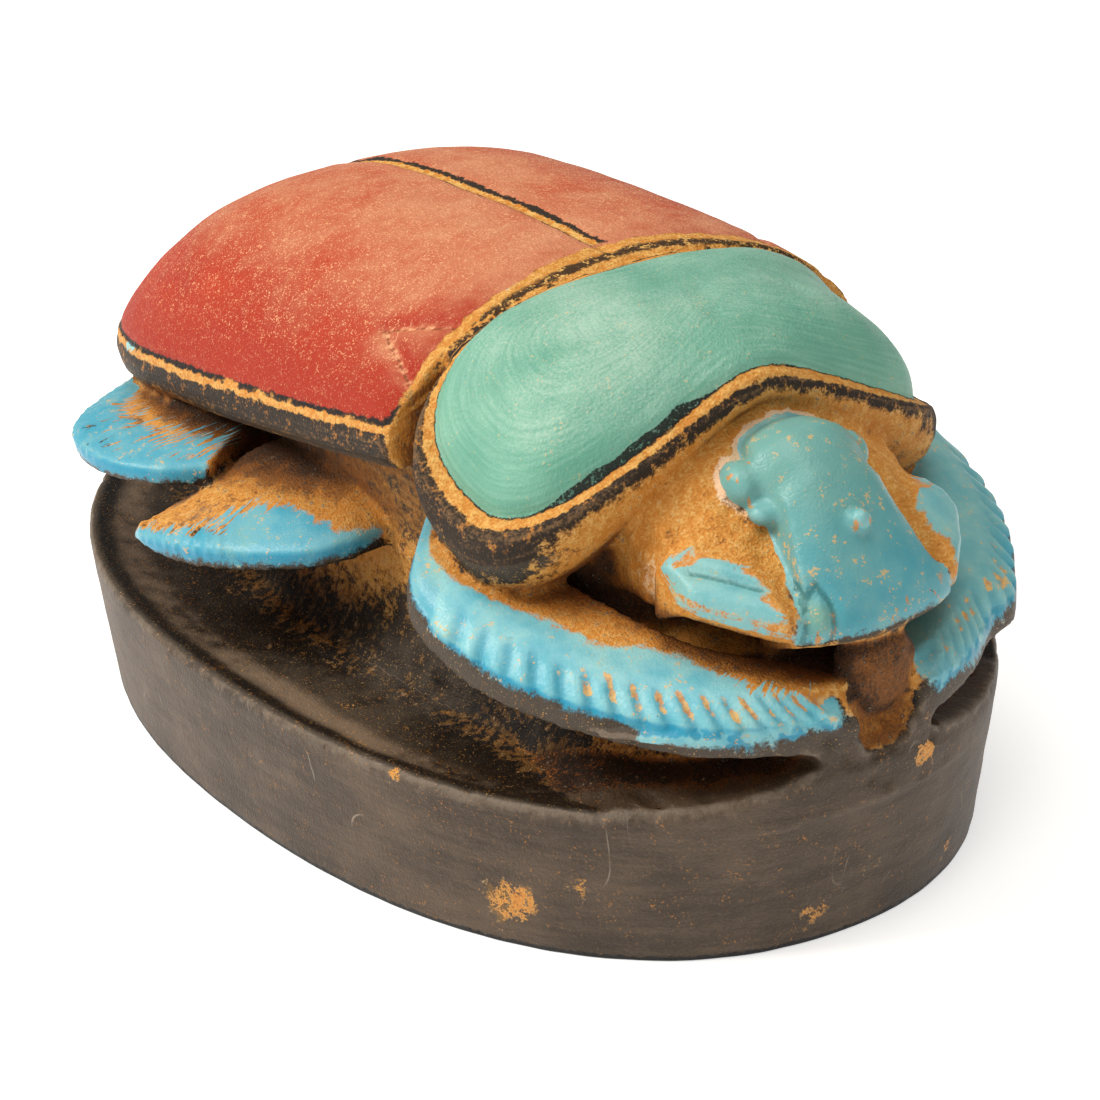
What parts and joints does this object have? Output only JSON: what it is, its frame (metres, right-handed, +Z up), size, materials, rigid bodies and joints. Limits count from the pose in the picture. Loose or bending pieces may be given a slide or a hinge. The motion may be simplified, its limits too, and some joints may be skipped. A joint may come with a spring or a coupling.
{
  "type": "scarab statue",
  "caption": "Carved and painted stone beetle on an oval plinth, cut from one block, with domed wing cases, a shield, a shovel-like head and bent legs.",
  "frame": {"origin": "middle of the flat underside's bounding box, on the underside", "axes": "+Z up, -Y towards the beetle's head, X across the beetle"},
  "size_m": [0.0841, 0.124, 0.057],
  "materials": {
    "painted_stone": "dark matt stone with worn paint: brick red wing cases, green shield, turquoise head and legs, ochre lines and pigment in the recesses"
  },
  "bodies": {
    "root": {"scarab_statue": "painted_stone"}
  },
  "joints": []
}
